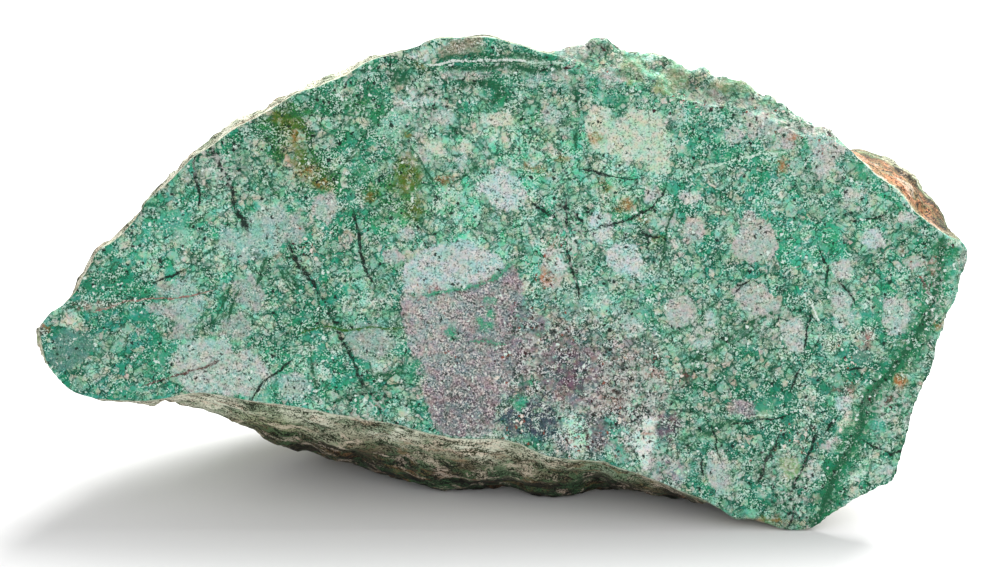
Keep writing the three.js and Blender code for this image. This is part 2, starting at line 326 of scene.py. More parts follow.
# ---- the looks of the marks
# Colours are sRGB, from 0 to 255. The last number is how strongly the grain shows.
LOOKS = {
    # the green ground
    "ground": (64, 157, 136, 1.35),
    "teal": (40, 140, 124, 0.8),
    "spring": (84, 173, 146, 0.9),
    "moss": (44, 102, 22, 0.9),
    "rust_moss": (88, 116, 34, 1.0),
    "fern": (46, 145, 112, 1.15),
    "forest": (28, 124, 92, 1.2),
    "jade": (26, 124, 82, 0.7),
    "pine": (52, 132, 110, 1.2),
    "sage": (144, 200, 174, 1.2),
    "mist": (198, 230, 210, 0.9),
    "slate": (88, 140, 124, 0.9),
    # clasts
    "pale": (186, 198, 188, 1.1),
    "cream": (206, 216, 194, 1.0),
    "bluish": (162, 192, 180, 1.1),
    "ice": (200, 212, 208, 1.2),
    "blush": (162, 176, 166, 1.1),
    "pink": (188, 189, 180, 1.0),
    "lilac": (156, 148, 151, 1.5),
    "lilac_pale": (194, 205, 202, 1.1),
    "rose": (178, 173, 170, 1.4),
    "ash": (132, 122, 126, 1.5),
    "mauve": (106, 86, 98, 1.6),
    "iron": (64, 76, 90, 1.6),
    "olive": (150, 176, 130, 0.9),
    # smaller spots
    "emerald": (62, 156, 120, 0.7),
    "deep": (20, 92, 58, 0.7),
    "black": (4, 22, 18, 0.2),
    "white": (226, 236, 228, 0.9),
    "umber": (90, 56, 50, 1.1),
    "ochre": (140, 112, 46, 0.8),
    "orange": (178, 112, 62, 0.8),
    "brick": (156, 110, 100, 1.0),
    # the natural rind
    "tan": (146, 148, 124, 1.1),
    "sand": (204, 208, 186, 0.9),
    "bark": (74, 66, 44, 1.1),
    # painted shade: near black, for the rind's underside where the floor contact shades it
    "painted_contact_shade": (14, 14, 8, 0.9),
    "salmon": (176, 120, 84, 1.1),
    "bone": (216, 214, 190, 0.7),
    "lichen": (112, 128, 88, 1.0),
    "mint": (132, 158, 132, 0.9),
}


def linear(colour):
    """sRGB from 0 to 255 as a linear colour from 0 to 1."""
    share = np.asarray(colour, float) / 255
    return np.where(share < 0.04045, share / 12.92, ((share + 0.055) / 1.055) ** 2.4)


# Soft zones of the ground: for each look, u, v, and how far each zone spreads across and up.
ZONES = {
    "teal": [(-90, 40, 16, 12)],
    "fern": [(-84, 51, 9, 6), (-53, 84, 5, 6), (-52, 78, 4, 4), (-29, 88, 7, 6), (-44, 46, 9, 10),
             (-38, 62, 6, 6), (44, 82, 11, 6), (41, 40, 9, 8), (84, 58, 8, 10), (84, 24, 8, 10),
             (64, 6, 8, 6), (76, 10, 7, 6)],
    "slate": [(-92, 40, 6, 5)],
    "spring": [(-78, 33, 9, 5), (-72, 66, 14, 12), (-34, 30, 12, 6), (62, 64, 12, 10), (70, 56, 10, 10),
               (84, 44, 7, 9), (97, 50, 3, 8)],
    "sage": [(-67, 49, 7, 6), (-54, 64, 9, 7), (-58, 34, 12, 6), (8, 66, 8, 7), (58, 86, 10, 6),
             (76, 68, 12, 8)],
    "moss": [(-45, 82, 6, 8), (-44, 84, 4, 6), (-20, 72, 7, 7), (-30, 90, 4, 4)],
    "rust_moss": [(-46, 87, 4, 3), (-40, 76, 5, 3)],
    "ground": [(-28, 50, 14, 14), (44, 70, 12, 9)],
    "forest": [(-20, 97, 6, 4), (2, 95, 9, 4), (89, 38, 4, 8)],
    "pine": [(-14, 94, 10, 5), (12, 95, 8, 4), (56, 40, 12, 8), (44, 26, 8, 10), (56, 12, 12, 10),
             (70, 26, 10, 12), (78, 38, 6, 8), (66, 36, 10, 8)],
    "mist": [(-12, 86, 10, 5), (-18, 92, 5, 2), (4, 82, 13, 7), (-9, 80, 9, 5), (-8, 66, 13, 7),
             (-17, 65, 7, 5), (-2, 64, 8, 5), (18, 103, 5, 4), (26, 84, 12, 9), (24, 74, 9, 7),
             (34, 16, 5, 6), (22, 46, 6, 5)],
    "cream": [(-4, 83, 12, 5), (14, 87, 7, 4), (36, 97, 12, 5)],
    "olive": [(2, 89, 8, 4), (27, 70, 6, 4), (50, 93, 10, 4)],
    "ice": [(26, 60, 8, 8)],
    "pink": [(48, 90, 8, 4), (66, 85, 8, 4), (31, 42, 7, 5), (21, 46, 9, 7), (8, 44, 8, 5),
             (73, 77, 6, 6)],
    "lilac_pale": [(58, 89, 9, 4)],
    "ash": [(8, 34, 14, 10), (25, 34, 9, 9), (31, 25, 7, 8)],
    "lilac": [(20, 20, 8, 5)],
    "deep": [(43, 32, 6, 5)],
}

# Soft zones of the rind: u, v, w, and how far each spreads. Under the face the rind is pale at its foot,
# then brown, then nearly black towards the floor; this darkening towards the floor is painted shade.
RIND_ZONES = {
    # the bone zones along the top left of the rind are partly a painted highlight of the strongly lit top
    # rind
    "bone": [(-68, 29, 1, 8), (-60, 86, 3, 12), (-36, 97, 3, 10), (-82, 66, 3, 12)],
    "sand": [(-58, 27, 1, 7), (-42, 25, 0, 6), (-24, 22, 0, 5), (-6, 20, 0, 5), (10, 16, 0, 4),
             (-50, 80, 26, 22)],
    "mint": [(26, 12, 0, 5), (0, 100, 20, 22), (40, 40, 56, 22), (-70, 50, 30, 16)],
    "lichen": [(-50, 22, 9, 6), (-98, 42, 4, 5)],
    "tan": [(-36, 19, 6, 5), (-14, 16, 5, 4), (6, 13, 5, 4), (50, 90, 24, 22), (-40, 50, 56, 22),
            (90, 40, 16, 12), (-10, 84, 44, 18)],
    "bark": [(-48, 20, 14, 6), (-30, 16, 11, 5), (-10, 13, 8, 4), (10, 10, 7, 4), (28, 8, 6, 5),
             (94, 66, 5, 3), (76, 82, 4, 3), (0, 60, 60, 20), (60, 20, 34, 14)],
    # painted shade: the underside of the rind near the floor, drawn near black
    "painted_contact_shade": [(-46, 16, 20, 5), (-36, 14, 17, 6), (-24, 11, 16, 6), (-12, 9, 14, 6), (0, 8, 14, 6),
             (12, 7, 13, 6), (24, 7, 12, 6), (36, 7, 11, 6)],
    "salmon": [(70, 50, 40, 16)],
}

# The weathered shoulder at the right: the line it follows, and the looks of its beds by w.
SHOULDER = np.array([(78, 80.5), (81, 78), (85, 74.5), (88.5, 70.5), (90, 69.5)])
SHOULDER_BEDS = [(0, "bone"), (0.8, "salmon"), (2.6, "salmon"), (3.3, "bark"), (4, "salmon"), (5.8, "salmon"),
                 (6.8, "bark"), (7.6, "salmon"), (8.8, "bark"), (10, "lichen"), (12, "sand"), (13, "bark"),
                 (14, "sand")]

# Places with specks of rust: u, v, and how far they spread across and up.
RUSTY = [
    (9, 43, 6, 5), (24, 29, 4, 6), (38, 33, 3, 3), (92, 58, 4, 4), (74, 36, 3, 3), (-18, 50, 4, 2.5),
    (11, 57, 3, 5), (84, 29, 3, 2), (-11, 37, 4, 2), (4, 22, 5, 3), (18, 19, 5, 3), (32, 36, 4, 3),
    (-28, 24, 2, 2), (0, 36, 3, 3), (56, 92, 6, 4), (40, 92, 6, 3), (20, 102, 4, 4), (70, 84, 5, 4),
    (-40, 60, 4, 3), (62, 20, 5, 4),
]

# Places with many dark pits and white flecks, in the same way.
PITTED = [
    (-16, 91, 6, 5), (-62, 33, 6, 4), (15, 62, 5, 9), (-3, 21, 4, 2), (8, 38, 3, 5), (21, 30, 3, 6),
    (30, 30, 7, 10), (18, 104, 4, 2), (64, 87, 8, 3), (43, 43, 5, 5), (-29, 26, 6, 5), (93, 50, 3, 8),
    (-60, 78, 6, 5), (62, 10, 5, 8), (14, 26, 6, 2), (34, 14, 6, 4), (84, 26, 6, 6), (58, 44, 5, 4),
]

# Brown stains over whatever is there, in the same way.
STAINED = [
    (-46.5, 88, 3, 2), (-44, 83.5, 2.2, 2.6), (-41, 77.5, 3.4, 2.4), (-38, 74, 3, 1.4), (-47, 80, 2.4, 2),
    (-19.5, 76, 3, 4), (-18.5, 69, 2, 3), (-23, 73, 2, 2), (-28, 72, 2.2, 1.2), (-11.5, 75.5, 1.4, 0.8),
    (8, 77, 2.6, 1.4), (13, 80, 2, 1), (9, 84, 3, 1.2), (20.6, 84, 1.5, 1.5), (22.5, 73.5, 2, 1.6),
    (27.4, 70, 2, 1.2), (25, 68, 2, 1), (34, 62, 1.5, 1), (-17, 99, 1.2, 0.8), (57, 2, 2.6, 1),
    (60.2, 78.2, 1, 1.4), (85.3, 32.2, 1.6, 1.6), (93.6, 44.2, 1.2, 1.2),
]


def soft_spots(points, spots):
    """How strongly the soft spots cover each point, from 0 to 1."""
    total = np.zeros(len(points))
    for u, v, across, up in spots:
        total += np.exp(-(((points - (u, v)) / (across, up)) ** 2).sum(axis=1))
    return np.minimum(total, 1)


def blend_zones(points, zones, base, base_weight):
    """The looks of soft zones, blended at each point. `base` is the look far from all of them."""
    axes = points.shape[1]
    total = np.tile(np.array(LOOKS[base], float) * base_weight, (len(points), 1))
    weights = np.full(len(points), base_weight)
    for look, places in zones.items():
        for place in places:
            weight = np.exp(-(((points - place[:axes]) / place[axes:]) ** 2).sum(axis=1))
            total += weight[:, None] * LOOKS[look]
            weights += weight
    return total / weights[:, None]


def shoulder_looks(points):
    """The looks of the shoulder's beds at each point, and how much of them shows."""
    depths = [depth for depth, _ in SHOULDER_BEDS]
    shades = np.array([LOOKS[look] for _, look in SHOULDER_BEDS])
    looks = np.stack([np.interp(points[:, 2], depths, shade) for shade in shades.T], axis=1)
    share = smoothstep(9, 2, distance_to_line(points[:, :2], SHOULDER)) * smoothstep(17, 9, points[:, 2])
    return looks, share[:, None]


# ---- the marks
def corners(numbers):
    """The corners of a line or an outline, from the u and v of each in turn."""
    return np.array(numbers, float).reshape(-1, 2)


def patch(look, *numbers):
    """A mark with straight sides. Its distance is positive inside, in slab units."""
    outline = corners(numbers)

    def distance(points):
        side = np.where(inside_polygon(points, outline), 1, -1)
        return distance_to_line(points, closed(outline)) * side

    return look, distance


def blot(look, u, v, across, up, turn=0):
    """A round mark, `across` and `up` from its middle to its edge, turned by some degrees."""
    angle = math.radians(turn)
    axes = np.array([(math.cos(angle), math.sin(angle)), (-math.sin(angle), math.cos(angle))])

    def distance(points):
        share = np.linalg.norm((points - (u, v)) @ axes.T / (across, up), axis=1)
        return (1 - share) * min(across, up)

    return look, distance


def blots(look, *each):
    """Round marks of one look."""
    return [blot(look, *numbers) for numbers in each]


def band(look, width, *numbers):
    """A mark as wide as this all along a line."""
    line = corners(numbers)
    return look, lambda points: width / 2 - distance_to_line(points, line)


def vein(look, width, *numbers):
    """A line of one width, in slab units."""
    return look, width, corners(numbers)


def veins(look, width, *each):
    """Lines of one look and width."""
    return [vein(look, width, *numbers) for numbers in each]


# Later marks cover earlier ones.
CLASTS = [
    # left end
    patch("slate", -97, 37, -94, 43, -88, 43, -86, 39, -90, 36, -95, 34),
    patch("bluish", -71, 53, -66, 54.5, -63, 50, -64, 45, -68, 43.5, -71, 47),
    patch("blush", -74, 53, -71, 53, -71, 50, -73.5, 50.5),
    blot("spring", -70, 66, 3.4, 3, 20),
    blot("sage", -67.5, 62.5, 2.6, 2),
    blot("blush", -72, 47, 4, 1.4, -8),
    patch("pale", -69, 39, -64, 41, -58, 41, -57, 35, -60, 30, -66, 29.5, -70, 33),
    blot("blush", -68, 42.5, 3, 1.6, 10),
    # left of the middle
    patch("bluish", -60, 66, -56, 64, -52, 69, -47, 70, -44, 65, -48, 58.5, -55, 57, -60, 60),
    patch("blush", -46.5, 66, -43.5, 69, -41.5, 64, -43, 61, -46, 62),
    patch("pink", -39.5, 71, -36, 73, -34, 69, -36.5, 66, -40, 67.5),
    patch("blush", -57, 53, -53, 54.5, -50, 50, -52, 46.5, -56.5, 48),
    patch("blush", -60, 45, -55, 46, -52, 43, -55, 41, -60, 42),
    patch("pale", -60, 36, -55, 38.5, -50.5, 36.5, -48, 33, -52, 29, -60, 29),
    patch("bluish", -47, 33, -43, 34.5, -40.5, 31, -42, 28, -47, 28.5),
    patch("blush", -33, 41.5, -30, 44.5, -25, 43.5, -22.5, 39.5, -26.5, 36, -31, 37.5),
    blot("pink", -23, 58.5, 2.2, 1.6),
    patch("sage", -27, 85, -25, 89, -21.5, 91, -19, 88, -22, 84),
    blot("pale", -20, 63.5, 1.8, 1.6),
    # the big clast and the dark ground round it
    patch("lilac", -21.5, 50, -14, 50.5, -8, 51.5, -3, 54, 3, 57, 5, 53, 5, 48, 2, 44, 4, 38, 1, 30, -1, 24,
          -2, 21, -8, 20.5, -14, 21, -15.5, 26, -16, 31, -18, 34, -19.5, 38, -20.5, 44),
    patch("lilac_pale", -20.5, 57, -15, 60.5, -8, 62.5, -5, 61, 0, 59, 1.2, 56.5, -2, 54.6, -6, 53,
          -9, 51.8, -15, 50.8, -21, 50.5),
    patch("pink", 9.5, 60, 13, 61, 14, 56, 12.5, 52, 9, 52.5),
    # top, left of the middle
    patch("tan", -13, 102.5, -10, 105, -4, 105.5, -2.5, 102.5, -6, 101.4, -11, 101),
    blot("pink", -7, 97.3, 5.6, 0.95),
    patch("cream", -5, 89.5, 2, 89.7, 3.5, 87.5, 0, 86.4, -4, 87),
    blot("cream", -14, 82.3, 1.9, 1.7),
    blot("cream", -7.5, 82.2, 1.7, 1.6),
    blot("pale", -16.5, 80.6, 1.9, 1.4),
    blot("pale", -19.5, 79, 1.5, 1.1),
    blot("pale", -8, 79, 1.5, 1.3),
    blot("pale", -12, 88.5, 2.4, 1.7),
    patch("ice", -4.5, 74, -2, 77, 0, 78.6, 2, 76.6, 5, 74, 6.3, 71.5, 4.5, 69.6, 2, 68.3, -1, 69, -2, 71.5,
          -4, 73),
    patch("pink", 10.5, 98, 14.5, 99.5, 14.5, 96.5, 11, 96.5),
    blot("bluish", 7, 96, 2.4, 1.2, 30),
    blot("pale", 11, 88.5, 1.8, 1.6),
    patch("pale", 11.5, 102.5, 14, 104.5, 17, 106, 19.5, 103, 18, 100.8, 14.5, 100.6),
    # top, right of the middle
    patch("cream", 18.5, 89, 20, 91, 24, 90.5, 24.5, 86.5, 28, 90.5, 33, 90, 35, 86.5, 37.5, 84, 35.5, 80.5,
          36.5, 77, 33, 76, 31, 79, 24, 80.3, 20, 81.5, 18.5, 85),
    patch("olive", 32, 94, 34.5, 99, 38, 100.8, 40.5, 98.5, 40, 94.5, 36, 93),
    patch("olive", 26.5, 102, 30, 101.5, 30.5, 96, 28, 95.2, 26, 98),
    patch("pink", 20, 99.5, 24, 99.2, 27, 96.2, 24, 96, 20, 97.8),
    patch("pink", 40, 92.5, 46, 94.5, 48, 91.5, 43, 90.3),
    patch("olive", 44.5, 94.5, 47, 97, 50.5, 97.6, 53.5, 95.6, 54, 94.2, 48, 93.6),
    patch("pale", 50, 92.5, 54, 93, 55.5, 90.7, 51, 90.5),
    patch("ice", 22.5, 60, 25, 61.7, 29, 61.2, 31, 57, 30.5, 54, 25, 55, 22.5, 57),
    patch("ice", 20, 68.5, 24, 67, 24, 63, 20.5, 61.5, 19, 65),
    blot("pale", 32, 71.8, 1.9, 1.9),
    blot("pale", 40.8, 71.2, 2, 1.5),
    patch("pink", 34.5, 65.5, 37.5, 68, 38, 65.5, 36, 63.8),
    patch("pink", 40, 67, 43.5, 67, 44, 64, 42, 61.3, 39.3, 61, 39, 64),
    patch("pink", 49.5, 62, 51.5, 65.5, 53, 68.5, 57, 66.5, 59, 64.2, 59.6, 60.5, 57.5, 58, 53.5, 57.2,
          50.3, 58.5),
    patch("pink", 49.5, 52, 52, 53.7, 56, 53, 57.5, 50.6, 60, 49.5, 59.5, 47, 54, 46, 50.5, 48.5),
    patch("pale", 47, 85, 50, 87, 51.8, 84, 49, 81.5),
    patch("pink", 53, 89, 57, 90.5, 60, 88, 58, 84, 53, 83.5),
    patch("pale", 65.5, 86, 68, 87.2, 71.5, 86.3, 73.2, 84.5, 73.5, 82, 72, 79, 70.5, 76, 68, 75.3,
          66.8, 78.5, 66, 82),
    blot("pink", 61.5, 84, 1.8, 2.4, 20),
    # right of the middle
    patch("pink", 35.5, 49, 40, 50.3, 42, 47, 41, 44, 38, 43, 35.5, 45),
    patch("pale", 25, 45, 30, 45.8, 31, 42.6, 27, 41.4),
    blot("pale", 45.2, 45.5, 1.7, 1.5),
    blot("pale", 43.5, 40.2, 1.9, 1.2),
    patch("pale", 60.5, 44, 64, 46.3, 66, 42, 65, 38.3, 61, 38.4),
    patch("lilac", 48.5, 25, 50, 28, 54, 27.6, 54.6, 24.3),
    patch("white", 30, 24, 33, 24.6, 34, 21, 32.5, 17, 33, 13, 31, 12.8, 28.3, 19),
    patch("pale", 44.8, 17, 48, 17.6, 49.6, 14, 49.6, 9, 46.5, 7.6, 44.4, 12),
    patch("olive", 60, 15.6, 63.6, 15.6, 64, 12, 61, 11),
    # right end
    patch("pale", 73.5, 73, 76.6, 73, 76.3, 69.8, 73.3, 69),
    patch("lilac_pale", 77.8, 64.8, 81, 64.6, 81.9, 61, 79, 60, 77.3, 61.5),
    patch("pale", 84.5, 66, 86.5, 68.2, 89.5, 67.2, 88.5, 65.4),
    patch("pale", 70.5, 57, 74.5, 59, 75.5, 54.5, 72, 53.6),
    patch("pale", 71, 52, 75.5, 51, 75.7, 44.5, 72.3, 43.2, 70.8, 46),
    blot("pink", 88.5, 57.5, 1.8, 1.3, 20),
    patch("pale", 81.8, 50, 87, 50.5, 88.2, 45.5, 86.5, 42, 83, 41.3, 81.3, 45),
    patch("slate", 75.3, 38.2, 78.3, 39.5, 80, 36.5, 76.5, 35.5),
    blot("lilac_pale", 73, 27.3, 1.8, 1.6),
    patch("cream", 74, 25.6, 77, 25.6, 77.2, 22, 75.5, 20.2, 72, 20.6, 72.2, 23),
    patch("pale", 66.3, 15.6, 68.6, 15, 69, 12, 67, 10.3, 65.3, 12),
    blot("pink", 71, 18.3, 2, 1.2, 10),
    blot("pale", 82.3, 13.2, 2, 1.1),
    blot("spring", 81, 22.3, 2.3, 1.4, -20),
    blot("mist", 76, 12, 2.8, 1, 25),
    patch("sage", 95, 46, 97.6, 47, 99.6, 53, 97.5, 53.5, 95.6, 49.5),
    patch("pink", 97.3, 57, 99, 60.5, 101, 60, 100.6, 56),
]

SPOTS = [
    band("jade", 5.5, 94.8, 60, 93.4, 53, 91.6, 46, 87.4, 38.5, 81.4, 31, 77.8, 24.5, 74.4, 17, 71.4, 11,
         69, 4),
    # soft marks in and round the big clast
    patch("rose", -21.5, 50, -14, 50.5, -8.5, 51, -8, 46, -10.5, 40, -11.5, 36, -18.4, 35.5, -20, 43),
    patch("ash", -15, 30, -8, 33, -1, 30, 0, 25, -2, 21, -8, 20.5, -14, 21),
    patch("ash", 1, 46, 5, 49, 9, 46, 9, 40, 5, 34, 1, 33),
    patch("ash", 9, 39, 15, 41, 21, 38, 23, 31, 18, 26.5, 12, 27, 8, 33),
    patch("iron", -1.5, 24, 3, 27, 9, 28.5, 12.5, 25, 13, 21, 8, 19, 2, 20.5),
    patch("ash", 16, 23, 20, 25, 23.5, 23, 23.5, 17.5, 18.5, 17),
    patch("mauve", 33, 25, 38.5, 25.2, 38.8, 21, 36, 18.3, 33, 21),
    patch("lilac", 32.5, 15, 38, 16.2, 40.2, 13, 39, 10, 35, 10.3, 32, 12.5),
    # green patches
    patch("emerald", -76, 32.5, -73, 40, -70.5, 40, -71.5, 34),
    patch("emerald", -12.5, 42.5, -10.5, 44.2, -8.5, 42, -10.3, 40.3),
    patch("emerald", -5.3, 45.5, -3.2, 46, -3, 50.4, -0.8, 50, -0.8, 46.5, -1.8, 42.6, -4.5, 42.6),
    patch("emerald", 2.3, 27.5, 4, 29.6, 6.6, 28.8, 5.6, 25, 3.8, 25),
    patch("emerald", 5, 32, 7, 33.9, 8.6, 32, 7, 30.4),
    patch("spring", 22.8, 24, 24.5, 24.6, 26, 21, 27, 16.5, 28.3, 13.6, 26.2, 13.6, 24.3, 18),
    patch("mist", 13.6, 24, 17, 25.2, 20, 21, 18.6, 16.6, 16, 16.6, 13.8, 20),
    patch("fern", 22.3, 93.5, 25, 95.2, 27.2, 93, 25.5, 90.8, 23, 91.3),
    # rust, ochre and brown
    patch("ochre", 5.4, 79, 7, 78.4, 10, 77.2, 11, 75.6, 9.6, 75.4, 8.6, 76.6, 5.8, 77.6),
    patch("ochre", 11, 80.3, 13, 80.6, 15, 79.3, 13.6, 78.7),
    patch("ochre", 21, 75, 22.8, 74.6, 24.3, 72, 23, 71.7, 21.4, 73.4),
    patch("umber", 23.3, 31.2, 25, 31.2, 26.8, 29, 27, 25, 23.4, 25.3),
    # round spots
    blot("mauve", 15, 34.5, 4.2, 4.6, 20),
    *blots("emerald", (-79.5, 29.3, 2.2, 1), (-2.2, 103.4, 1.8, 1.4), (78.5, 76.5, 2.4, 1.6, -30),
           (57, 27, 2.2, 1.8), (96.5, 56, 1.3, 1.8)),
    *blots("spring", (-49, 29.8, 2.6, 0.8, 25), (51, 3.6, 3, 0.6, 5)),
    *blots("deep", (-51.7, 58.6, 1.3, 0.9), (-21.3, 96.8, 2.4, 2.1)),
    blot("fern", -18.5, 34.8, 1.8, 2.6, 30),
    *blots("rust_moss", (-46.3, 88, 3, 1.8, -30), (-43, 80, 1.6, 2.4), (-19.5, 76, 3, 4),
           (-18.5, 68.5, 1.6, 2.6)),
    *blots("ochre", (-43.5, 84.5, 1.4, 1.6), (-41, 76.6, 2.2, 1.4, 30), (-38, 73.8, 1.8, 0.9),
           (-19.5, 84.3, 0.75, 0.75), (-28, 71.8, 1.6, 1), (-17, 99, 1.2, 0.6, -20), (20.6, 84.2, 1.3, 1.2),
           (27.4, 70.2, 1.7, 1, 30), (25.8, 68.4, 1.1, 0.7), (34, 62.3, 1.2, 0.7), (58, 2.2, 2.4, 0.9)),
    *blots("umber", (8.3, 41.5, 0.9, 1.2), (83.3, 28.4, 1.4, 0.7, 30), (40, 32.8, 1.2, 1),
           (20.6, 24.5, 0.9, 0.7), (-98, 42.4, 1, 0.8)),
    *blots("orange", (-11.5, 75.5, 1.4, 0.8), (11.6, 61.3, 1, 0.8), (10.4, 54.6, 1.3, 1.6),
           (31, 66.8, 1, 0.6), (60.2, 78.2, 0.8, 1.3), (62.5, 84, 1, 0.8), (85.3, 32.2, 1.5, 1.5),
           (31.3, 21.4, 1.3, 0.5), (93.6, 44.2, 1.2, 1.1), (-97.2, 43.4, 0.8, 0.6)),
    *blots("brick", (-89, 48, 2, 0.8, 5), (-84, 48.4, 1.6, 0.6, -10), (-15, 51.6, 1.4, 0.9),
           (92.5, 58, 1.5, 0.6, 10), (92.6, 55.2, 0.8, 0.9, 40), (32.3, 34, 2.3, 1), (74.8, 30.2, 1.8, 0.5),
           (78.3, 41, 1.4, 1.8, 20)),
    *blots("white", (12.7, 57.6, 1.4, 1.5), (-16, 92.4, 2.6, 0.6, -15), (-20.5, 91.8, 2.4, 0.8),
           (-17.5, 101.5, 1.2, 0.8), (41.2, 71.5, 1, 0.8, 30)),
    blot("mist", 97, 61.7, 2.6, 0.8, -25),
]

# Bands and wide veins.
VEINS = [
    vein("deep", 2, 94.6, 61.5, 93.8, 55, 92.6, 50, 90.8, 44.5, 88, 39.5, 84.5, 35.5, 80.5, 30.5,
         77.8, 26.5, 77.6, 22.5, 75, 18.5, 72.6, 14.5, 70.8, 10, 69, 5, 67, 1),
    vein("deep", 1.3, -10.5, 98.7, -4, 98.9, 4, 98.8, 10, 98.2, 15, 99.4),
    vein("deep", 1, -12, 101.2, -5, 101.5, 0, 101.2, 6, 101.4, 12, 101),
    vein("deep", 1.6, -8, 95.3, -3, 96, 0, 94, -2, 91.5, -5, 93),
    vein("forest", 2.4, -91, 51.5, -86, 53.4, -82, 55),
    vein("emerald", 0.9, -15.5, 50.6, -9, 51.4, -4, 53, 0, 54.8, 2.4, 57.2),
    vein("emerald", 0.7, -5.6, 40.2, -3, 40.6, 0, 40),
    vein("black", 1.6, -61.5, 81.5, -60, 79, -58, 75.5, -57, 72.5, -57, 70, -56, 67.5, -54.7, 65),
    vein("black", 1.6, -45, 61, -43.6, 57.4, -41.7, 55, -39.6, 52.4),
    vein("black", 0.8, -39.6, 52.4, -38, 50, -36, 46.6, -34, 42, -31.4, 37),
    vein("black", 0.9, -31.4, 37, -29, 31.5, -26.5, 28.5, -25, 24),
    vein("deep", 1.1, -34.5, 27.6, -31, 29.5, -28, 30.4, -24.5, 30.2),
    vein("deep", 0.9, -29, 32.5, -25, 33.6, -21.4, 33.4),
    vein("umber", 0.9, 90.2, 53.8, 91.4, 50, 91.5, 46),
    vein("black", 0.9, 92, 46.5, 90.6, 44.2),
    vein("emerald", 1.6, 75.5, 48, 77.5, 50.5, 80.4, 50, 80.8, 44),
    vein("deep", 1.2, 40, 20, 43.5, 20.6, 47, 22, 50, 23),
    vein("deep", 1.4, 40.5, 36, 44, 37.8, 48, 40.5, 52, 43.5, 58, 46.4),
    vein("mist", 0.5, 54, 24.6, 58, 24.8, 62.5, 26.2, 65.5, 25.6),
    vein("black", 0.6, -17.6, 93, -15, 94.4, -13.6, 93.2, -14.4, 91, -15, 88.6),
]

# Thin cracks and fine lines.
CRACKS = [
    vein("white", 0.55, -15, 99.6, -9, 100.2, -2, 100.5, 5, 100.3),
    vein("mist", 0.5, 5, 100.3, 14, 100),
    *veins("deep", 0.5, [-22.4, 91, -26, 88, -29.5, 83.5, -32.5, 79.5, -35, 76], [-66.5, 65.2, -63.4, 67.2],
           [-46, 55.5, -43.5, 52], [-47, 55, -45.6, 52, -43.6, 50.6],
           [-21, 82.5, -18, 80.6, -16, 77.5, -13.5, 74.4], [39.6, 75.4, 41.4, 78.6]),
    *veins("black", 0.7, [-31, 67.5, -30.2, 64, -30, 60, -28.6, 55.8, -26.8, 53.4],
           [59, 19.6, 57.8, 16, 56.6, 13, 55.8, 11], [67.6, 20.6, 66.6, 17.4, 65, 14, 63.4, 11.2, 62, 8.4]),
    *veins("black", 0.55, [-73, 54.2, -70, 54.8, -67.6, 55.8], [7.4, 70, 10, 68, 11.6, 66.8],
           [12.6, 69.6, 15, 68.8, 17.4, 66.5]),
    *veins("black", 0.6, [-65.2, 80, -65, 76, -64.3, 71.4, -64.3, 70],
           [-52.4, 28.8, -50.8, 31.4, -48, 34, -45.6, 36],
           [14.2, 70.2, 14, 66, 14.4, 62.5, 15, 59.5, 15.3, 56, 16.2, 52.5, 16.8, 50],
           [22.2, 65, 26, 65.8, 29.4, 67.6, 32.6, 69.4, 34.6, 72], [30.4, 64, 31.6, 62.8, 33.6, 62.6],
           [75.2, 66.3, 76.4, 66.4, 78, 67, 81.5, 67.2]),
    *veins("deep", 0.4, [-67.4, 69.8, -65.6, 72.4], [59.4, 46.8, 55, 43.8, 51.4, 41.2]),
    vein("umber", 0.5, -75, 31, -71.5, 32, -68, 33.4, -65, 34.4, -61, 36),
    vein("brick", 0.4, -86, 47.2, -82, 48.4, -77, 49, -73, 49.8, -68, 50, -62, 51.6),
    *veins("deep", 0.6, [-52, 80, -50, 76, -48, 72.6], [-40.5, 39, -40, 34.5, -39.5, 30],
           [-57.6, 52, -59.4, 48, -61.4, 44.6], [-9.5, 75, -7.4, 76.2, -5, 77.8], [16, 94, 16.6, 89.5],
           [22.6, 102.4, 23, 105, 24.2, 106], [37.8, 70, 36.4, 66, 35.4, 61, 34.2, 56.4]),
    vein("deep", 0.9, -50, 57.8, -51.6, 53),
    *veins("deep", 0.45, [-56, 50.6, -58, 45.4], [-38.6, 49, -38.2, 44],
           [46.4, 48.8, 43, 46.4, 40, 43.8, 36, 41.8]),
    vein("moss", 0.5, -42, 42.4, -37, 43.4, -29, 43, -21, 43.4),
    *veins("black", 0.4, [16, 64.2, 20, 64.2], [50.6, 51.6, 52.8, 53.6],
           [49.6, 22.6, 54, 23.4, 58, 23.8, 62, 25], [45, 22, 46.2, 20, 46.6, 17.6, 47.2, 15.4],
           [64, 34.4, 62.8, 30.6]),
    *veins("black", 0.5, [9, 98, 11.6, 99.6], [29, 75.3, 24, 76, 18, 76.8], [43.2, 14.4, 43.4, 12.2],
           [66.6, 46.4, 65.6, 43, 65.2, 39.6], [63, 5.4, 62.4, 2.4, 61.4, 1], [71.4, 24, 70, 21.4],
           [70, 53.6, 70.6, 56.4, 69, 60], [73, 52.8, 75.8, 49.4], [75, 34.4, 76.4, 34.8]),
    vein("deep", 0.7, 16.6, 85.6, 16.3, 82.4),
    vein("mist", 0.6, 40, 76.4, 45, 77.8, 50, 79, 55, 80.2, 60, 81),
    vein("black", 0.45, 77.8, 19.4, 80.6, 18.2, 83.6, 16.8, 86.6, 17.4),
    vein("white", 0.5, 66, 49.4, 67.4, 46.8, 68, 45),
]


def paint(points, marks):
    """Which mark shows at each point: its distance inside the mark, and the mark's look."""
    edge = np.full(len(points), -REACH)
    looks = np.tile(np.array(LOOKS["ground"], float), (len(points), 1))
    for look, distance in marks:
        inside = distance(points)
        wins = (inside > 0) | (inside > edge)
        edge[wins] = inside[wins]
        looks[wins] = LOOKS[look]
    return np.clip(edge, -REACH, REACH), looks


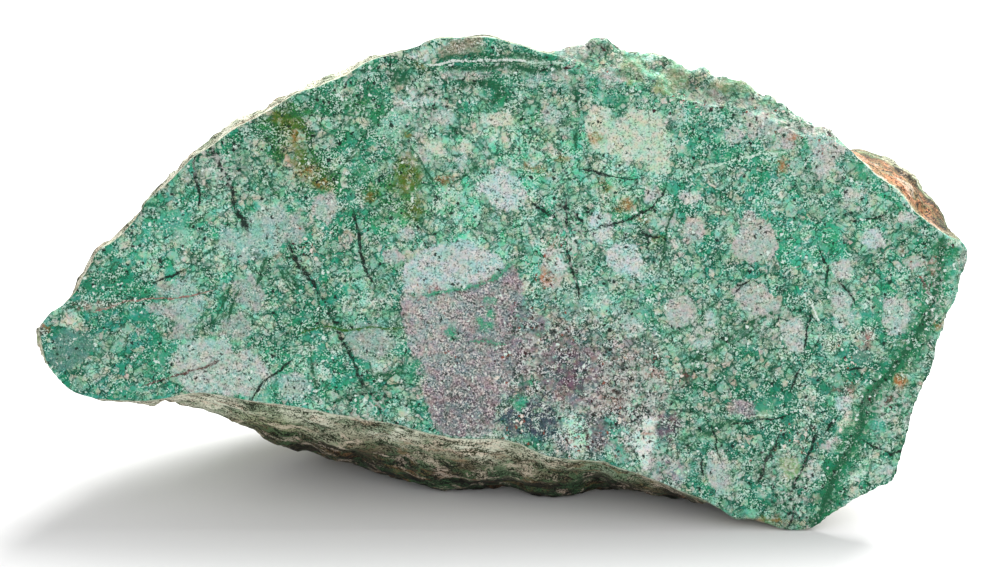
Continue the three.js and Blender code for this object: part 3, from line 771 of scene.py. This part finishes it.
def trace(points, lines):
    """The nearest line: which side and how far its middle is, its half width here, and its look."""
    nearest = np.full(len(points), np.inf)
    side = np.full(len(points), REACH)
    width = np.zeros(len(points))
    looks = np.tile(np.array(LOOKS["ground"], float), (len(points), 1))
    for look, wide, line in lines:
        low, high = line.min(axis=0) - REACH, line.max(axis=0) + REACH
        near = np.all((points > low) & (points < high), axis=1)
        for start, end in zip(line[:-1], line[1:]):
            along = end - start
            share = np.clip((points[near] - start) @ along / (along @ along), 0, 1)
            gap = points[near] - start - share[:, None] * along
            distance = np.hypot(gap[:, 0], gap[:, 1])
            wins = distance - wide / 2 < nearest[near]
            chosen = np.flatnonzero(near)[wins]
            nearest[chosen] = distance[wins] - wide / 2
            side[chosen] = (np.sign(along[0] * gap[:, 1] - along[1] * gap[:, 0]) * distance)[wins]
            width[chosen] = wide / 2
            looks[chosen] = LOOKS[look]
    fade = 1 - smoothstep(0.5 * REACH, REACH, np.abs(side))
    return side, width * fade, looks


# ---- the rock
solid = remeshed(raised_solid())
smooth(solid, rounds=10)
weather(solid)
rind_points, rind_faces, rim_loops = cut_at_face(solid)
face_points, face_triangles = face_mesh(rind_points, rim_loops)

slab_points = np.concatenate([rind_points, face_points])
rock_faces = rind_faces + face_triangles
places = np.clip(from_slab(slab_points), CAD_LOW, CAD_HIGH)
rock = mesh_object("rock_skin", places, rock_faces)
rock.data.polygons.foreach_set("use_smooth", np.ones(len(rock_faces), bool))


def fresh_depth(points):
    """How far behind the face the broken edges show fresh stone: deep at the crest, little elsewhere."""
    u, v = points[:, 0], points[:, 1]
    right = smoothstep(90, 93, u) * smoothstep(64, 61, v) * smoothstep(26, 34, v)
    foot = smoothstep(44, 47, u) * smoothstep(59, 56, u) * smoothstep(12, 8, v)
    return 0.2 + 4.6 * crest_share(points) + 1.4 * right + 0.8 * foot


def store(name, values):
    """Puts a number, a vector or a colour at each of the rock's vertices."""
    parts = 1 if np.ndim(values) == 1 else np.shape(values)[1]
    kind, key = {1: ("FLOAT", "value"), 3: ("FLOAT_VECTOR", "vector"), 4: ("FLOAT_COLOR", "color")}[parts]
    attribute = rock.data.attributes.new(name, kind, "POINT")
    attribute.data.foreach_set(key, np.ascontiguousarray(values, np.float32).ravel())


def store_looks(name, looks):
    store(name, np.concatenate([linear(looks[:, :3]), looks[:, 3:]], axis=1))


def store_pattern():
    """Stores the marks, zones and soft spots. Their edges wander, so that none of them is too regular."""
    wander = np.stack([layers(slab_points, 7, 30 + axis) for axis in range(2)], axis=1)
    on_face = slab_points[:, :2] + 0.6 * wander
    store("slab", slab_points)
    store_looks("ground", blend_zones(slab_points[:, :2] + 3 * wander, ZONES, "ground", 0.25))
    rind = blend_zones(slab_points + 2 * wander[:, :1], RIND_ZONES, "tan", 0.1)
    beds, share = shoulder_looks(slab_points + 0.8 * wander[:, :1])
    store_looks("rind", rind + share * (beds - rind))
    for name, marks in {"clast": CLASTS, "spot": SPOTS}.items():
        edge, looks = paint(on_face, marks)
        store(name + "_edge", edge)
        store_looks(name, looks)
    for name, lines in {"vein": VEINS, "crack": CRACKS}.items():
        side, width, looks = trace(on_face, lines)
        store(name + "_side", side)
        store(name + "_width", width)
        store_looks(name, looks)
    store("rind_depth", slab_points[:, 2] - fresh_depth(slab_points))
    for name, spots in {"rusty": RUSTY, "pitted": PITTED, "stained": STAINED}.items():
        store(name, soft_spots(slab_points[:, :2] + wander, spots))


store_pattern()


# ---- the material
class Nodes:
    """A short way to write a material's nodes: each method adds a node and returns its output."""

    def __init__(self, name):
        self.material = bpy.data.materials.new(name)
        self.material.use_nodes = True
        self.tree = self.material.node_tree
        self.surface = self.tree.nodes["Principled BSDF"]

    def connect(self, socket, value):
        if isinstance(value, bpy.types.NodeSocket):
            self.tree.links.new(value, socket)
        else:
            socket.default_value = value

    def add(self, kind, *inputs, output=0, **settings):
        """Inputs are values or sockets by position. A None leaves that socket as it is."""
        node = self.tree.nodes.new("ShaderNode" + kind)
        for key, value in settings.items():
            setattr(node, key, value)
        for socket, value in zip(node.inputs, inputs):
            if value is not None:
                self.connect(socket, value)
        return node.outputs[output]

    def attribute(self, name, output="Fac"):
        return self.add("Attribute", attribute_name=name, output=output)

    def math(self, operation, *values):
        return self.add("Math", *values, operation=operation)

    def times(self, first, *others):
        for other in others:
            first = self.math("MULTIPLY", first, other)
        return first

    def times_plus(self, value, factor, added):
        return self.math("MULTIPLY_ADD", value, factor, added)

    def step(self, value, low, high):
        """The same as smoothstep, in the material."""
        return self.add("MapRange", value, low, high, interpolation_type="SMOOTHSTEP")

    def mix(self, share, first, second, blend="MIX"):
        return self.add("Mix", share, None, None, None, None, None, first, second,
                        data_type="RGBA", blend_type=blend, output=2)

    def tinted(self, colour, tint, share=1.0):
        return self.mix(share, colour, tint, "MULTIPLY")

    def between(self, share, first, second):
        return self.add("Mix", share, None, first, second)

    def scaled(self, place, size, seed):
        """The place in a texture whose features are as large as this, in a part that the seed chooses."""
        scale = 1 / np.broadcast_to(size, 3)
        return self.add("VectorMath", place, tuple(scale), (seed * 7.3,) * 3, operation="MULTIPLY_ADD")

    def noise(self, place, size, detail, roughness, seed):
        """Noise from about -1 to 1. `size` is one number, or three for the slab axes."""
        share = self.add("TexNoise", self.scaled(place, size, seed), None, 1, detail, roughness)
        return self.times_plus(share, 4, -2)

    def cells(self, place, size, seed):
        """The distance to the middle of each point's cell, and three random numbers for each cell."""
        distance = self.add("TexVoronoi", self.scaled(place, size, seed), None, 1)
        return distance, self.add("SeparateColor", distance.node.outputs["Color"]).node.outputs

    def web(self, place, size, seed):
        """The distance to the nearest border between cells, as a share of their size."""
        return self.add("TexVoronoi", self.scaled(place, size, seed), None, 1, feature="DISTANCE_TO_EDGE")


def colour(*rgb):
    return (*linear(rgb).tolist(), 1)


class Stone:
    """The colour of fresh stone, built up in steps over the green ground."""

    def __init__(self, n, slab, grain, mottle):
        self.n = n
        self.slab = slab
        self.grain = grain
        self.mottle = mottle
        self.ragged = n.noise(slab, 1.4, 4, 0.8, 3)
        self.broken = n.step(n.noise(slab, 1.5, 3, 0.75, 4), -0.6, 0.2)
        bend = n.add("CombineXYZ", n.times(self.ragged, 0.5), n.times(mottle, 0.5))
        self.bent = n.add("VectorMath", slab, bend, operation="ADD")
        self.behind = n.step(n.add("SeparateXYZ", slab, output=2), 0.0, 0.3)
        self.pitted = n.attribute("pitted")
        self.ground = n.attribute("ground", "Color")
        self.strength = n.attribute("ground", "Alpha")
        parts = n.add("SeparateColor", self.ground).node.outputs
        self.leafy = n.step(n.math("SUBTRACT", parts[1], parts[0]), 0.02, 0.2)
        self.dim = n.mix(self.leafy, colour(42, 58, 50), colour(10, 88, 62))
        self.dark_tint = n.mix(self.leafy, (0.18, 0.16, 0.16, 1), (0.07, 0.30, 0.21, 1))
        self.pale_tint = n.mix(self.leafy, colour(240, 238, 236), colour(224, 248, 234))
        self.add_patches()
        self.add_shards()
        self.add_fine_lines()
        self.add_marks()
        self.add_tints()
        self.add_veins()
        self.add_network()
        self.add_grain()
        self.add_specks()
        self.add_stains()

    def lay(self, mask, shade, opacity=None):
        """Lays a colour over the stone where the mask is, as strongly as `opacity` says."""
        share = mask if opacity is None else self.n.times(mask, opacity)
        self.ground = self.n.mix(share, self.ground, shade)

    def field(self, size, detail, roughness, seed, low, high):
        """Soft places from 0 to 1: noise of this size, between two of its values."""
        return self.n.step(self.n.noise(self.slab, size, detail, roughness, seed), low, high)

    def add_patches(self):
        """The ground is deeper green in places, and paler in others."""
        n = self.n
        green = n.tinted(self.ground, n.mix(self.leafy, (0.72, 0.64, 0.66, 1), (0.34, 0.84, 0.66, 1)))
        pale = n.mix(0.68, self.ground, colour(208, 216, 196))
        patches = n.noise(self.slab, 5, 3, 0.65, 11)
        self.lay(n.step(patches, 0.1, -0.4), green)
        self.lay(n.step(patches, 0.1, 0.5), pale)

    def add_shards(self):
        """Angular clasts of three sizes with dark rims, in crowds."""
        n = self.n
        everywhere = self.field(13, 2, 0.5, 19, -0.7, 0.4)
        crowd = n.math("ADD", everywhere, n.math("MAXIMUM", self.pitted, self.behind))
        self.bodies = 0.0
        for size, share, seed in ((4.4, 0.5, 6), (2.5, 0.42, 7), (1.3, 0.35, 8)):
            random = n.cells(self.bent, size, seed)[1]
            inward = n.web(self.bent, size, seed)
            chosen = n.math("LESS_THAN", random[0], n.times(crowd, share))
            body = n.times(n.step(inward, 0.04, 0.12), chosen)
            rim = n.times(n.step(inward, 0.12, 0.05), chosen)
            self.bodies = n.math("MAXIMUM", self.bodies, body)
            middling = n.mix(self.leafy, colour(150, 146, 142), colour(126, 178, 150))
            palest = n.mix(random[2], colour(206, 190, 176), colour(216, 230, 210))
            self.lay(body, n.mix(random[1], middling, palest), opacity=0.75)
            self.lay(rim, self.dim, opacity=0.75)

    def add_fine_lines(self):
        """Dim webs of two sizes, slanted dim strokes, and pale hairlines."""
        n = self.n
        for size, seed, opacity in ((3.4, 21, 0.85), (1.6, 22, 0.8)):
            line = n.step(n.web(self.bent, size, seed), 0.16 / size, 0.06 / size)  # as wide at each size
            line = n.times(line, self.field(2 * size, 2, 0.6, seed + 2, -0.15, 0.3))
            self.lay(line, self.dim, opacity)
        slanted = n.add("Mapping", self.slab, None, (0, 0, math.radians(-38)))
        strokes = n.step(n.noise(slanted, (3.4, 0.55, 2), 2, 0.6, 32), 0.42, 0.62)
        self.lay(n.times(strokes, self.field(6, 2, 0.6, 33, 0.0, 0.4)), self.dim, opacity=0.85)
        off = n.math("ABSOLUTE", n.noise(self.slab, 2.6, 3, 0.65, 25))
        hairlines = n.times(n.step(off, 0.08, 0.02), self.field(9, 1, 0.5, 26, -0.1, 0.4))
        self.lay(hairlines, colour(196, 226, 206), opacity=0.5)

    def add_named(self, name, mask, opacity=None):
        """Lays the named marks' own colours, and their own strength of grain."""
        self.lay(mask, self.n.attribute(name, "Color"), opacity)
        self.strength = self.n.between(mask, self.strength, self.n.attribute(name, "Alpha"))

    def named_mask(self, name, soft):
        """Where the clasts or the spots are, with ragged edges. They are fainter behind the face."""
        n = self.n
        edge = n.times_plus(self.ragged, 0.9, n.attribute(name + "_edge"))
        return n.times(n.step(edge, -soft, soft), n.times_plus(self.behind, -0.5, 0.95))

    def add_marks(self):
        n = self.n
        self.clast = self.named_mask("clast", 0.35)
        self.add_named("clast", self.clast)
        self.dark_tint = n.mix(self.clast, self.dark_tint, (0.18, 0.20, 0.18, 1))
        self.pale_tint = n.mix(self.clast, self.pale_tint, colour(246, 242, 234))
        self.add_named("spot", n.times(self.named_mask("spot", 1.0), self.broken))

    def add_tints(self):
        """Soft tints: pinkish or green, and bluish or yellowish."""
        n = self.n
        share = n.times_plus(self.clast, -0.3, 1.0)
        for seed, first, last in (
            (29, (1.30, 1.02, 1.04, 1), (0.58, 1.14, 1.03, 1)),
            (30, (1.0, 1.01, 1.20, 1), (1.0, 1.03, 0.90, 1)),
        ):
            tint = n.mix(self.field(2.4, 2, 0.8, seed, -0.8, 0.8), first, last)
            self.ground = n.tinted(self.ground, tint, share)

    def add_veins(self):
        """Veins and cracks are ragged and broken, and the stone beside the wider ones is darker."""
        n = self.n
        broken_up = n.times_plus(self.field(1.3, 3, 0.9, 31, -0.5, 0.0), 0.5, 0.5)
        for name, sway, rough, share in (("vein", 0.5, 0.4, 0.7), ("crack", 0.3, 0.12, 0.95)):
            off = n.math("ABSOLUTE", n.times_plus(self.ragged, sway, n.attribute(name + "_side")))
            width = n.times(n.attribute(name + "_width"), n.times_plus(self.mottle, 0.9, share))
            width = n.times_plus(self.grain, rough, width)
            beside = n.math("SUBTRACT", off, n.times(width, 2.2))
            darker = n.tinted(self.ground, (0.4, 0.68, 0.55, 1))
            self.lay(n.step(beside, 0.5, -0.3), darker, opacity=0.4)
            inside = n.step(n.math("SUBTRACT", off, width), 0.2 * rough, -0.5 * rough)
            self.add_named(name, n.times(inside, broken_up), opacity=0.97)

    def add_network(self):
        """A pale network where the stone is pitted."""
        n = self.n
        network = n.times(n.step(n.web(self.bent, 1.9, 36), 0.15, 0.04), n.step(self.broken, 0.2, 0.9))
        network = n.times(network, n.step(self.pitted, 0.2, 0.9))
        self.lay(network, colour(218, 222, 214), opacity=0.6)

    def add_grain(self):
        """The grain is darker and paler. It is stronger in some places, and weak on the shards."""
        n = self.n
        calm = n.math("MAXIMUM", n.times_plus(n.noise(self.slab, 3, 3, 0.7, 27), 2.0, 0.95), 0.3)
        calm = n.times(calm, n.times_plus(self.bodies, -0.6, 1.2))
        calm = n.between(n.times(self.clast, 0.7), calm, 0.8)
        tone = n.times(n.times(self.grain, 1.5), n.times(self.strength, calm))
        self.lay(n.step(tone, 0.1, -1.5), n.tinted(self.ground, self.dark_tint), opacity=0.95)
        self.lay(n.step(tone, 0.2, 1.8), self.pale_tint, opacity=0.7)

    def add_specks(self):
        """Scattered specks: dark pits, white crystals, and rust where the stone is rusty."""
        n, pitted = self.n, self.pitted
        rusty = n.attribute("rusty")
        lively = n.math("ADD", self.field(4, 2, 0.6, 28, -0.2, 0.5), pitted)
        soft = 0.08
        for size, share, seed, radius, shade in (
            (1.2, 0.22, 9, 0.26, colour(8, 30, 22)),
            (1.2, n.times(pitted, 0.2), 34, 0.26, colour(230, 242, 234)),
            (1.2, n.times(pitted, 0.5), 35, 0.3, colour(6, 16, 12)),
            (0.8, n.times(lively, 0.3), 15, 0.3, colour(20, 66, 48)),
            (1.0, n.times(lively, 0.3), 10, 0.28, colour(222, 240, 230)),
            (0.9, n.times(rusty, 0.45), 12, 0.24, colour(140, 76, 60)),
            (1.1, n.times(rusty, 0.25), 13, 0.28, colour(236, 226, 214)),
            (1.1, n.times(rusty, 0.3), 14, 0.3, colour(60, 30, 34)),
        ):
            distance, random = n.cells(self.bent, size, seed)
            body = n.step(n.times_plus(self.ragged, 0.42, distance), radius + soft, radius - soft)
            speck = n.times(body, n.math("LESS_THAN", random[0], share))
            self.lay(speck, shade, opacity=n.times_plus(self.bodies, -0.6, 0.96))

    def add_stains(self):
        """Brown stains, and painted shade on the broken edges behind the sawn face."""
        n = self.n
        stain = n.times(n.attribute("stained"), n.step(self.ragged, -0.8, 1.2))
        self.lay(stain, n.tinted(self.ground, (0.80, 0.60, 0.16, 1)))
        # painted shade: the broken edges behind the face are darkened so that the key light does not wash
        # them out
        self.lay(self.behind, n.tinted(self.ground, (0.90, 0.85, 0.83, 1)))


def natural_rind(n, slab, grain, mottle):
    """The colour of the natural rind: thin streaked beds in tan, cream, brown and green."""
    tint = n.attribute("rind", "Color")
    bend = n.add("CombineXYZ", 0.0, 0.0, n.times(n.noise(slab, 9, 2, 0.5, 12), 0.9))
    bent = n.add("VectorMath", slab, bend, operation="ADD")
    streaks = n.noise(bent, (5, 4, 1.1), 4, 0.85, 13)
    beds = n.noise(bent, (24, 18, 3.6), 3, 0.65, 14)
    for thickness, seed, low, high, opacity, shade in (
        (3.0, 15, -0.1, 0.3, 0.8, colour(66, 108, 70)),
        (2.4, 16, 0.1, 0.5, 0.7, colour(132, 92, 60)),
        (2.8, 17, 0.1, 0.5, 0.8, colour(224, 204, 184)),
    ):
        seams = n.step(n.noise(bent, (9, 7, thickness), 4, 0.75, seed), low, high)
        seam = n.mix(0.5, shade, n.tinted(tint, n.mix(0.4, shade, (1, 1, 1, 1))))
        tint = n.mix(n.times(seams, opacity), tint, seam)
    tone = n.times_plus(streaks, 2.4, n.times_plus(beds, 0.6, n.times(grain, 1.8)))
    dark = n.tinted(tint, (0.08, 0.10, 0.06, 1))
    light = n.mix(1.0, tint, tint, "SCREEN")
    tint = n.mix(n.step(tone, 0.1, -1.1), tint, dark)
    tint = n.mix(n.times(n.step(tone, 0.1, 1.2), 0.8), tint, light)

    # a bruised pale rim beside the sawn face
    rim = n.step(n.times_plus(mottle, 0.5, n.add("SeparateXYZ", slab, output=2)), 0.9, 0.3)
    return n.mix(n.times(rim, 0.8), tint, colour(226, 226, 204))


def chrysocolla():
    """Fresh stone on the sawn face and the broken edges, and the natural rind behind them."""
    n = Nodes("chrysocolla")
    slab = n.attribute("slab", "Vector")
    crystal = n.cells(slab, 0.42, 20)[1][0]
    grain = n.times_plus(crystal, 0.8, n.math("SUBTRACT", n.noise(slab, 0.34, 1, 0.7, 1), 0.4))
    mottle = n.noise(slab, 2.4, 3, 0.8, 2)
    rind = n.step(n.times_plus(mottle, 0.12, n.attribute("rind_depth")), 0.0, 0.35)
    stone = Stone(n, slab, grain, mottle)
    n.connect(n.surface.inputs["Base Color"], n.mix(rind, stone.ground, natural_rind(n, slab, grain, mottle)))
    n.connect(n.surface.inputs["Roughness"], n.times_plus(grain, 0.06, 0.72))
    n.surface.inputs["Specular IOR Level"].default_value = 0.3
    bump = n.tree.nodes.new("ShaderNodeBump")
    bump.inputs["Distance"].default_value = BUMP_HEIGHT * UNIT
    bump.inputs["Strength"].default_value = 0.35
    n.connect(bump.inputs["Height"], n.math("ADD", grain, n.times(mottle, 0.5)))
    n.connect(n.surface.inputs["Normal"], bump.outputs["Normal"])
    return n.material


rock.data.materials.append(chrysocolla())

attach(rock, "root")
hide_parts(NODE)

# ---- floor, camera and light
FLOOR_HALF = 6  # metres
square = np.array([(-1, -1, 0), (1, -1, 0), (1, 1, 0), (-1, 1, 0)])
floor = mesh_object("floor", FLOOR_HALF * square, [[0, 1, 2, 3]])
floor_paint = bpy.data.materials.new("floor")
floor_paint.use_nodes = True
floor_surface = floor_paint.node_tree.nodes["Principled BSDF"]
floor_surface.inputs["Base Color"].default_value = (0.8, 0.8, 0.8, 1)
floor_surface.inputs["Roughness"].default_value = 0.9
floor.data.materials.append(floor_paint)

VIEW_DISTANCE = 550  # units from the camera to the sawn face
VIEW_WIDTH = 213.7  # units, at the sawn face
CAMERA_PLACE = np.array([0, 52.9, -VIEW_DISTANCE])  # slab coordinates

camera_data = bpy.data.cameras.new("camera")
camera = add_object("camera", camera_data)
camera_data.angle = 2 * math.atan(VIEW_WIDTH / 2 / VIEW_DISTANCE)
turn = Matrix(np.stack([ACROSS, UP_FACE, -INTO_ROCK], axis=1).tolist())
camera.matrix_world = Matrix.Translation(from_slab(CAMERA_PLACE)) @ turn.to_4x4()
bpy.context.scene.camera = camera

world = bpy.data.worlds.new("world")
bpy.context.scene.world = world
world.use_nodes = True
world.node_tree.nodes["Background"].inputs["Color"].default_value = (1, 1, 1, 1)
world.node_tree.nodes["Background"].inputs["Strength"].default_value = 0.8
bpy.context.scene.view_settings.view_transform = "Standard"

key_data = bpy.data.lights.new("key", "AREA")
key_data.shape = "SQUARE"
key_data.size = 0.35  # metres
key_data.energy = 13  # watts
key_light = add_object("key", key_data)
key_light.location = (0.25, 0.45, 0.65)
aim = Vector((0, 0, 0.03)) - key_light.location
key_light.rotation_euler = aim.to_track_quat("-Z", "Y").to_euler()
